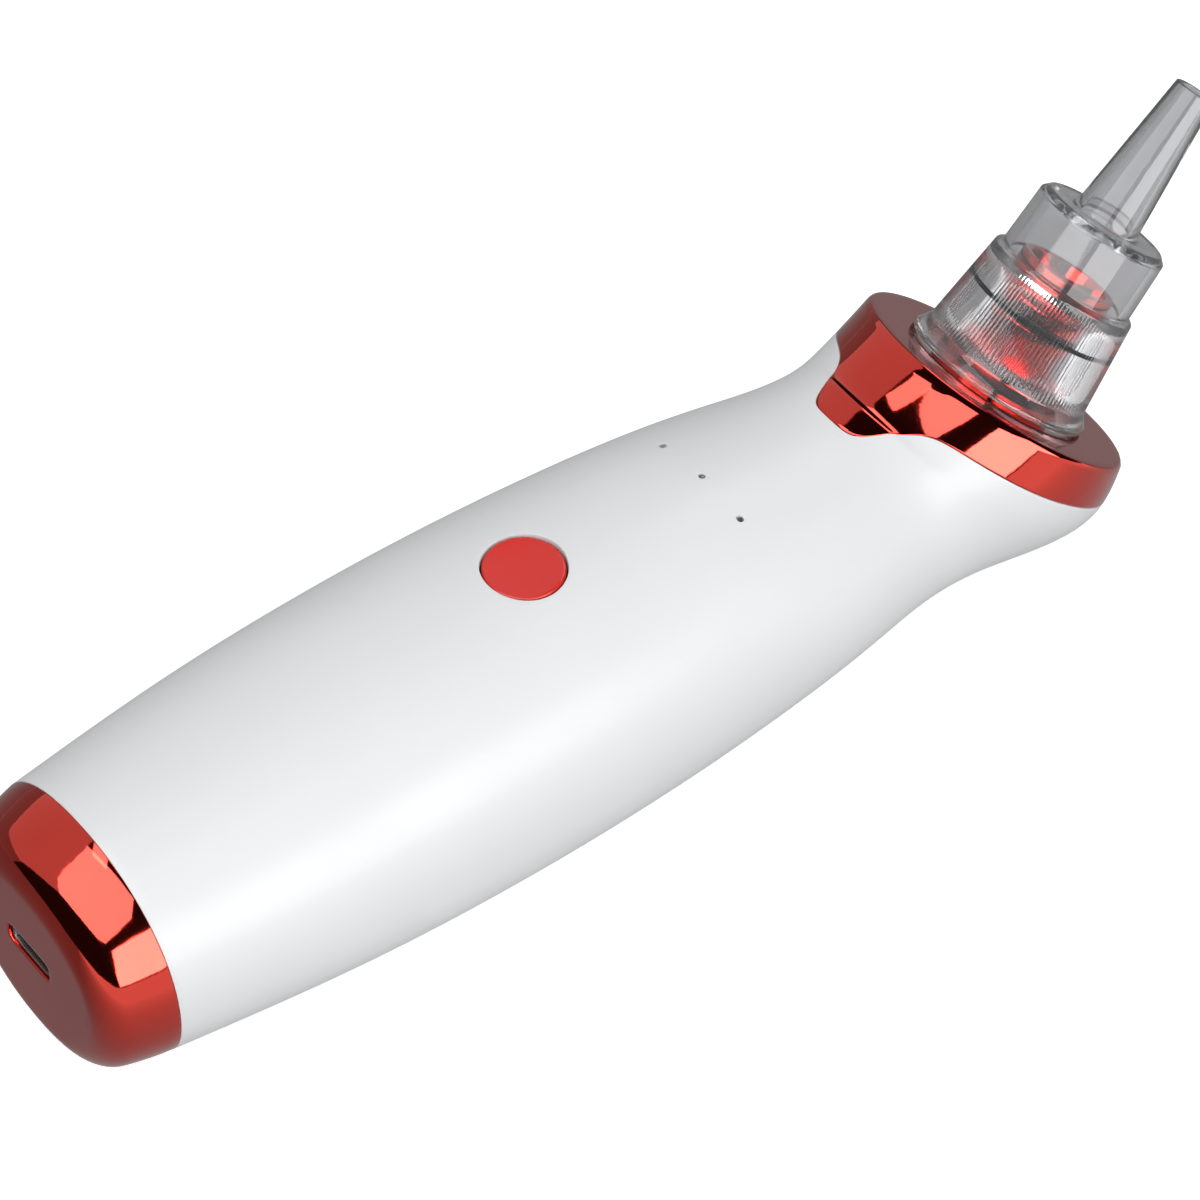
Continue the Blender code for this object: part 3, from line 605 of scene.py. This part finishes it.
cap = {
    "length": 8.3,
    "end": (14.85, 12.95, 13.6),  # half width, front and back depth where the end face would be square
    "bulge": 1.0,
    "rounding": 3.0,
    "roundingSteps": 12,
    "columns": 160,
    "slot": (4.05, 1.45, 6.0),  # half width, half height, squareness
    "slotZ": 0.7,
    "wall": 1.6,
    "edge": 0.09,
    "jointGap": 0.02,
}


def capSection(x):
    share = x / cap["length"]
    sizes = []
    for end, start in zip(body["sections"][0][3:6], cap["end"]):
        sizes.append(start + (end - start) * share + cap["bulge"] * share * (1 - share))
    return (x, 0.0, 0.0, *sizes, body["sections"][0][6])


def addBaseCap():
    # rings from the slot, over the flat end and its rounded edge, to the joint with the housing
    slotHalf, slotHeight, squareness = cap["slot"]
    slot = (0.0, cap["slotZ"], 0.0, slotHalf, slotHeight, slotHeight, squareness)
    flat = [0.0, 0.06, 0.3, 0.6, 0.9]
    stops = []
    for i in range(cap["roundingSteps"] + 1):
        turn = math.pi / 2 * i / cap["roundingSteps"]
        stops.append((cap["rounding"] * (1 - math.cos(turn)), cap["rounding"] * (1 - math.sin(turn))))
    stops += [(3.6, 0.0), (4.6, 0.0), (5.8, 0.0), (7.0, 0.0), (cap["length"] - cap["jointGap"], 0.0)]

    def place(column, row):
        angle = 360 * column / cap["columns"]
        if row < len(flat):
            hole = sectionPoint(slot, angle)
            return hole.lerp(sectionPoint(capSection(0.0), angle, cap["rounding"]), flat[row])
        x, inset = stops[row - len(flat)]
        return sectionPoint(capSection(x), angle, inset)

    rows = len(flat) + len(stops) - 1
    bm = bentGrid(cap["columns"], rows, place, closed=True)
    shell = {"wall": cap["wall"], "edge": cap["edge"]}
    addPiece("baseCap", bm, bodyPlace, paints["red_chrome"], "housing", "red_chrome", ["base_cap"], **shell)


addBaseCap()
print("base cap made")


def addCollar():
    # the band above the wavy edge, a rounded rim and the flat seat down to the boss
    angles = columnAngles(-180.0, 180.0, collar["columns"])
    edges = [collarEdge(angle, 0.0) for angle in angles]
    rim = collar["seatEdge"]
    radius = collar["seatRadius"]
    rings = []
    for i in range(1, collar["roundingSteps"] + 1):
        turn = math.pi / 2 * i / collar["roundingSteps"]
        rings.append((radius - rim * (1 - math.cos(turn)), rim * (1 - math.sin(turn))))
    rings += [(radius - 1.4, 0.0), (13.0, 0.0), (collar["bossHole"], 0.0)]
    band = collar["bandRows"]
    toBody = Matrix.Translation(body["seat"]) @ headTurn

    def place(column, row):
        angle = angles[column]
        if row > band:
            reach, drop = rings[row - band - 1]
            turn = math.radians(angle)
            return toBody @ Vector((-math.cos(turn) * reach, math.sin(turn) * reach, -drop))
        s = edges[column] + (bodyEnd - rim - edges[column]) * row / band
        return sectionPoint(bodySection(s), angle)

    bm = bentGrid(collar["columns"], band + len(rings), place, closed=True)
    chrome = paints["red_chrome"]
    wall = collar["wall"]
    addPiece("headCollar", bm, bodyPlace, chrome, "housing", "red_chrome", ["head_collar"], wall=wall)


addCollar()
print("collar made")


# Head: boss, ring, clear suction head and filter, turned about the tilted axis

boss = {
    "steps": 128,
    "profile": (
        (1.0, -12.0),
        (1.8, -12.0),
        (1.8, -4.0),
        (11.0, -4.0),
        (11.0, -2.1),
        (8.2, -2.1),
        (8.2, 7.2),
        (8.6, 7.8),
        (8.6, 8.98),
        (6.9, 8.98),
        (6.9, 10.02),
        (8.6, 10.02),
        (8.6, 11.6),
        (8.2, 12.0),
        (6.4, 12.0),
        (6.4, 15.75),
        (5.3, 15.75),
        (5.2, 13.4),
        (3.2, 13.4),
        (3.2, 5.5),
        (1.0, 5.5),
    ),
    "edge": 0.22,
}
ring = {
    "steps": 192,
    "sides": 28,
    "radius": 8.1,
    "height": 9.5,
    "halfWidth": 1.02,
    "halfHeight": 0.45,
    "flatness": 4.0,
}
clearHead = {
    "steps": 720,
    "ribs": 120,
    "ribDepth": 0.26,
    "ribRows": 22,
    "ribFrom": 2.9,
    "ribTo": 14.0,
    "ribFade": 1.6,
    "flange": ((10.5, 0.3), (12.2, 0.3), (12.2, 0.9), (11.7, 1.5)),
    "barrel": ((11.05, 2.5), (9.75, 14.5)),
    "neck": ((9.0, 14.9), (8.75, 22.6), (7.95, 23.4), (7.4, 23.4), (6.6, 23.4), (4.5, 23.4), (4.2, 24.4)),
    "tip": ((2.64, 42.1), (1.7, 42.1)),
    "inside": (
        (3.2, 24.0),
        (3.4, 22.2),
        (6.6, 22.2),
        (7.4, 22.2),
        (7.65, 22.2),
        (7.8, 13.9),
        (8.95, 13.2),
        (9.1, 8.5),
        (10.0, 2.5),
    ),
    "edge": 0.16,
    "bleed": (7.0, 112.0),  # radius and turn of the air hole
    "bleedRadius": 0.36,
    "plate": (23.4, 22.2),  # the top plate's outer and inner face
}
sponge = {"radius": 2.9, "low": 6.0, "high": 11.0, "steps": 48, "rings": 12, "dent": 0.06}


def addBoss():
    bm = turned(boss["profile"], boss["steps"])
    bevelSharp(bm, boss["edge"], 3, 35)
    addPiece("suctionBoss", bm, headPlace, paints["red_chrome"], "housing", "red_chrome", ["suction_boss"])


def addRing():
    # squeezed between its groove and the clear wall
    profile = []
    for i in range(ring["sides"]):
        section = (0.0, 0.0, 0.0, ring["halfHeight"], ring["halfWidth"], ring["halfWidth"], ring["flatness"])
        spot = sectionPoint(section, 360 * i / ring["sides"])
        profile.append((ring["radius"] + spot.z, ring["height"] + spot.y))
    bm = turned(profile, ring["steps"])
    addPiece("sealRing", bm, headPlace, paints["black_rubber"], "housing", "black_rubber", ["o_ring"])


def addClearHead():
    (lowRadius, low), (highRadius, high) = clearHead["barrel"]
    barrel = []
    for i in range(clearHead["ribRows"] + 1):
        share = i / clearHead["ribRows"]
        barrel.append((lowRadius + (highRadius - lowRadius) * share, low + (high - low) * share))
    profile = [*clearHead["flange"], *barrel, *clearHead["neck"], *clearHead["tip"], *clearHead["inside"]]
    bm = turned(profile, clearHead["steps"])
    bevelSharp(bm, clearHead["edge"], 3, 22)
    for vert in bm.verts:
        height = vert.co.z
        radius = math.hypot(vert.co.x, vert.co.y)
        share = (height - low) / (high - low)
        outer = lowRadius + (highRadius - lowRadius) * share
        if low + 0.3 < height < high - 0.3 and abs(radius - outer) < 0.05:
            rise = min((height - clearHead["ribFrom"]) / clearHead["ribFade"], 1.0)
            fall = min((clearHead["ribTo"] - height) / clearHead["ribFade"], 1.0)
            fade = max(0.0, min(rise, fall))
            wave = math.cos(math.atan2(vert.co.y, vert.co.x) * clearHead["ribs"])
            scale = 1 + clearHead["ribDepth"] * fade * (wave - 1) / 2 / radius
            vert.co.x *= scale
            vert.co.y *= scale
    cutBleed(bm)
    clear = paints["clear_plastic"]
    addPiece("suctionHead", bm, headPlace, clear, "head", "clear_plastic", ["suction_head"], sharp=30)


def cutBleed(bm):
    # a tiny air hole through the top plate
    reach, turn = clearHead["bleed"]
    spot = Vector((reach * math.cos(math.radians(turn)), reach * math.sin(math.radians(turn)), 0.0))
    rims = []
    for height in clearHead["plate"]:
        near = []
        for face in bm.faces:
            middle = face.calc_center_median()
            level = abs(middle.z - height) < 0.02
            inRing = abs(math.hypot(middle.x, middle.y) - reach) < 0.38
            if level and inRing and (Vector((middle.x, middle.y, 0.0)) - spot).length < 0.5:
                near.append(face)
        rims += roundOpening(bm, near, spot.xy, clearHead["bleedRadius"], 2, lambda x, y: height)
    bmesh.ops.bridge_loops(bm, edges=rims)
    bmesh.ops.recalc_face_normals(bm, faces=bm.faces)


def addSponge():
    low, high, radius = sponge["low"], sponge["high"], sponge["radius"]
    rings = sponge["rings"]
    profile = [(0.0, low)]
    profile += [(radius, low + (high - low) * i / rings) for i in range(rings + 1)]
    profile += [(radius * share, high) for share in (0.75, 0.5, 0.25, 0.0)]
    bm = turned(profile, sponge["steps"])
    for vert in bm.verts:
        across = math.sin(9.1 * vert.co.x + 5.3 * vert.co.z)
        along = math.sin(8.3 * vert.co.y - 4.1 * vert.co.z)
        dent = sponge["dent"] * across * along
        vert.co.x *= 1 - abs(dent)
        vert.co.y *= 1 - abs(dent)
        vert.co.z -= abs(dent) * (1 if vert.co.z > high - 0.01 else 0)
    addPiece("filterSponge", bm, headPlace, paints["grey_foam"], "filter", "grey_foam", ["filter_sponge"])


addBoss()
addRing()
addClearHead()
addSponge()
print("head made")


# Button and light pipes


def addButton():
    radius, top, rounding = button["radius"], button["top"], button["rounding"]
    flange, low, high = button["flange"]
    profile = [(0.0, low), (flange, low), (flange, high), (radius, high), (radius, top - rounding)]
    for i in range(1, 6):
        turn = math.pi / 2 * i / 5
        across = radius - rounding * (1 - math.cos(turn))
        profile.append((across, top - rounding * (1 - math.sin(turn))))
    for share in (0.9, 0.8, 0.65, 0.5, 0.35, 0.2, 0.1, 0.0):
        profile.append((radius * share, top - button["dish"] * (1 - (share / 0.93) ** 2)))
    bm = turned(profile, button["steps"])
    place = bodyPlace @ Matrix.Translation((button["x"], 0.0, 0.0))
    addPiece("powerButton", bm, place, paints["button_red"], "button", "button_red", ["power_button"])


def addLightPipes():
    for name, y in (("left", lights["spacing"]), ("centre", 0.0), ("right", -lights["spacing"])):
        top = frontHeight(lights["x"], y) - 0.06
        pipe = lights["pipe"]
        profile = [(0.0, 13.0), (1.3, 13.0), (1.3, 13.5), (pipe, 13.5), (pipe, top - 0.2)]
        profile += [(pipe * 0.85, top - 0.08), (pipe * 0.5, top - 0.02), (0.0, top)]
        bm = turned(profile, 32)
        place = bodyPlace @ Matrix.Translation((lights["x"], y, 0.0))
        piece = "lightPipe" + name.capitalize()
        clear = paints["clear_plastic"]
        addPiece(piece, bm, place, clear, "housing", "clear_plastic", ["light_pipe_" + name])


addButton()
addLightPipes()
print("button and lights made")


# Charging socket behind the slot

socket = {
    "mouth": 0.3,
    "back": 7.9,
    "outline": (3.7, 1.3, 5.0),  # half width, half height, squareness
    "z": 0.7,
    "wall": 0.3,
    "edge": 0.06,
    "columns": 96,
    "tongueLow": (1.2, -2.7, 0.15),
    "tongueHigh": (7.0, 2.7, 1.05),
}


def addSocket():
    halfWidth, halfHeight, squareness = socket["outline"]

    def place(column, row):
        angle = 360 * column / socket["columns"]
        outline = (0.0, socket["z"], 0.0, halfWidth, halfHeight, halfHeight, squareness)
        spot = sectionPoint(outline, angle)
        spot.x = socket["mouth"] + (socket["back"] - socket["mouth"]) * row / 6
        if row > 6:
            spot = sectionPoint((socket["back"], socket["z"], 0.0, 0.4, 0.2, 0.2, 2.0), angle)
        return spot

    bm = bentGrid(socket["columns"], 7, place, closed=True)
    hole = [edge for edge in bm.edges if edge.is_boundary and edge.verts[0].co.x > socket["back"] - 0.1]
    bmesh.ops.edgeloop_fill(bm, edges=hole)
    # the socket's steel is darkened, painted shade for the inside of the slot
    steel = paints["steel"]
    shell = {"wall": socket["wall"], "edge": socket["edge"]}
    addPiece("chargingSocket", bm, bodyPlace, steel, "housing", "steel", ["usb_receptacle"], **shell)
    bm = bmesh.new()
    addBox(bm, socket["tongueLow"], socket["tongueHigh"])
    bevelSharp(bm, 0.12, 3, 35)
    black = paints["black_plastic"]
    addPiece("socketTongue", bm, bodyPlace, black, "housing", "black_plastic", ["usb_tongue"])


addSocket()
print("socket made")


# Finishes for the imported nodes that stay: the works inside the housing


def paintStayedNodes():
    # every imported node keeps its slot, and gets that slot's finish
    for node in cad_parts.values():
        slot = node.data.materials[0].name.split(".")[0]
        node.data.materials.clear()
        node.data.materials.append(paints[slot])


paintStayedNodes()
print("packed nodes finished")


# Stage

stage = {
    "floorSize": 8.0,
    "floorDrop": 0.0002,
    "floorColour": 0.88,
    "floorGlow": 0.5,
    "floorInDiffuse": 0.35,  # what the floor sends back up to the dull pieces
    "floorInChrome": (0.26, 1.15),  # far side and near side of the object, as the chrome shows it
    "floorInChromeReach": 0.09,
    "throughClear": 0.36,  # how pale the surroundings look through the clear head
    "ambient": 0.25,
    "ambientInChrome": 0.02,
    # name, azimuth, elevation, distance, width, height, brightness
    "lights": (
        ("frontLight", 0, 19, 0.8, 0.9, 0.52, 3.4),
        ("topLight", -42, 65, 0.8, 1.6, 0.68, 1.6),
        ("backLight", -178, 36, 0.8, 1.9, 0.92, 0.75),
    ),
    "mirrored": (
        ("frontPanel", 0, 19, 0.78, 0.88, 0.51, 7.2),  # just before its light, or it wouldn't show
        ("topPanel", -74, 64, 0.8, 0.84, 0.62, 3.8),
        ("crownPanel", -160, 76, 0.8, 0.3, 0.2, 3.6),
        ("backPanel", -178, 41, 0.8, 1.9, 0.74, 0.75),
        ("backWall", -178, 8, 0.9, 2.0, 0.28, 0.26),
        ("sidePanel", 109, 41, 0.8, 0.3, 0.3, 3.4),
    ),
    "hiddenInClear": ("frontPanel",),  # too bright to be seen through the clear head
}


def seenThroughClear(tree, path):
    # 1 where a ray came straight through the clear head, 0 where something mirrored it first
    plain = tree.nodes.new("ShaderNodeMath")
    plain.operation = "LESS_THAN"
    plain.inputs[1].default_value = 0.5
    both = tree.nodes.new("ShaderNodeMath")
    both.operation = "MULTIPLY"
    tree.links.new(path.outputs["Glossy Depth"], plain.inputs[0])
    tree.links.new(plain.outputs["Value"], both.inputs[0])
    tree.links.new(path.outputs["Is Transmission Ray"], both.inputs[1])
    return both.outputs["Value"]


def addFloor():
    bm = bmesh.new()
    bmesh.ops.create_grid(bm, x_segments=1, y_segments=1, size=stage["floorSize"] / 2)
    bmesh.ops.translate(bm, verts=bm.verts, vec=(0.0, 0.0, frameLow.z - stage["floorDrop"]))
    mesh = bpy.data.meshes.new("floor")
    bm.to_mesh(mesh)
    bm.free()
    floor = bpy.data.objects.new("floor", mesh)
    bpy.context.scene.collection.objects.link(floor)
    pale = stage["floorColour"]
    paint = addFinish("floor", {
        "colour": (pale, pale, pale),
        "shade": (pale * 0.985, pale * 0.985, pale * 0.985),
        "roughness": (0.8, 0.9),
        "driftScale": 4.0,
        "bump": 0.0,
        "shader": {"Emission Strength": stage["floorGlow"], "Specular IOR Level": 0.1},
    })
    tree = paint.node_tree
    shader = tree.nodes["Principled BSDF"]
    shader.inputs["Emission Color"].default_value = (1.0, 1.0, 1.0, 1.0)
    # the chrome sees the floor paler towards the front panel
    place = tree.nodes.new("ShaderNodeTexCoord")
    split = tree.nodes.new("ShaderNodeSeparateXYZ")
    pool = tree.nodes.new("ShaderNodeMapRange")
    pool.inputs["From Min"].default_value = 0.0
    pool.inputs["From Max"].default_value = -stage["floorInChromeReach"]
    pool.inputs["To Min"].default_value, pool.inputs["To Max"].default_value = stage["floorInChrome"]
    tree.links.new(place.outputs["Object"], split.inputs["Vector"])
    tree.links.new(split.outputs["Y"], pool.inputs["Value"])
    path = tree.nodes.new("ShaderNodeLightPath")
    strength = tree.nodes.new("ShaderNodeMix")
    strength.inputs["B"].default_value = stage["throughClear"]
    tree.links.new(seenThroughClear(tree, path), strength.inputs["Factor"])
    tree.links.new(pool.outputs["Result"], strength.inputs["A"])
    dull = tree.nodes.new("ShaderNodeMix")
    dull.inputs["B"].default_value = stage["floorInDiffuse"]
    tree.links.new(path.outputs["Is Diffuse Ray"], dull.inputs["Factor"])
    tree.links.new(strength.outputs["Result"], dull.inputs["A"])
    plain = tree.nodes.new("ShaderNodeEmission")
    tree.links.new(dull.outputs["Result"], plain.inputs["Strength"])
    mix = tree.nodes.new("ShaderNodeMixShader")
    tree.links.new(path.outputs["Is Camera Ray"], mix.inputs["Fac"])
    tree.links.new(plain.outputs["Emission"], mix.inputs[1])
    tree.links.new(shader.outputs["BSDF"], mix.inputs[2])
    tree.links.new(mix.outputs["Shader"], tree.nodes["Material Output"].inputs["Surface"])
    mesh.materials.append(paint)


def addPanel(name, azimuth, elevation, distance, width, height, brightness, mirrored):
    # a softbox that faces the object, which either lights it or is what its glossy finishes show
    light = bpy.data.lights.new(name, "AREA")
    light.shape = "RECTANGLE"
    light.size = width
    light.size_y = height
    light.energy = brightness * math.pi * width * height
    lamp = bpy.data.objects.new(name, light)
    away = direction(azimuth, elevation)
    middle = (frameLow + frameHigh) / 2
    facing = away.to_track_quat("Z", "Y").to_matrix().to_4x4()
    lamp.matrix_world = Matrix.Translation(middle + away * distance) @ facing
    lamp.visible_camera = False
    lamp.visible_glossy = mirrored
    lamp.visible_diffuse = not mirrored
    lamp.visible_transmission = mirrored and name not in stage["hiddenInClear"]
    bpy.context.scene.collection.objects.link(lamp)


def addWorld():
    # pale behind the object, even light on it, and dark between the panels in the chrome
    world = bpy.data.worlds.new("studio")
    world.use_nodes = True
    tree = world.node_tree
    backdrop = tree.nodes["Background"]
    path = tree.nodes.new("ShaderNodeLightPath")
    gloss = tree.nodes.new("ShaderNodeMix")
    gloss.inputs["A"].default_value = stage["ambient"]
    gloss.inputs["B"].default_value = stage["ambientInChrome"]
    through = tree.nodes.new("ShaderNodeMix")
    through.inputs["B"].default_value = stage["throughClear"]
    seen = tree.nodes.new("ShaderNodeMix")
    seen.inputs["B"].default_value = 1.0
    mirrored = tree.nodes.new("ShaderNodeMath")
    mirrored.operation = "GREATER_THAN"
    mirrored.inputs[1].default_value = 0.5
    tree.links.new(path.outputs["Glossy Depth"], mirrored.inputs[0])
    tree.links.new(mirrored.outputs["Value"], gloss.inputs["Factor"])
    tree.links.new(gloss.outputs["Result"], through.inputs["A"])
    tree.links.new(seenThroughClear(tree, path), through.inputs["Factor"])
    tree.links.new(through.outputs["Result"], seen.inputs["A"])
    tree.links.new(path.outputs["Is Camera Ray"], seen.inputs["Factor"])
    tree.links.new(seen.outputs["Result"], backdrop.inputs["Strength"])
    backdrop.inputs["Color"].default_value = (1.0, 1.0, 1.0, 1.0)
    bpy.context.scene.world = world


addFloor()
addWorld()
for panel in stage["lights"]:
    addPanel(*panel, mirrored=False)
for panel in stage["mirrored"]:
    addPanel(*panel, mirrored=True)
bpy.context.scene.view_settings.view_transform = "Standard"
print("stage set")
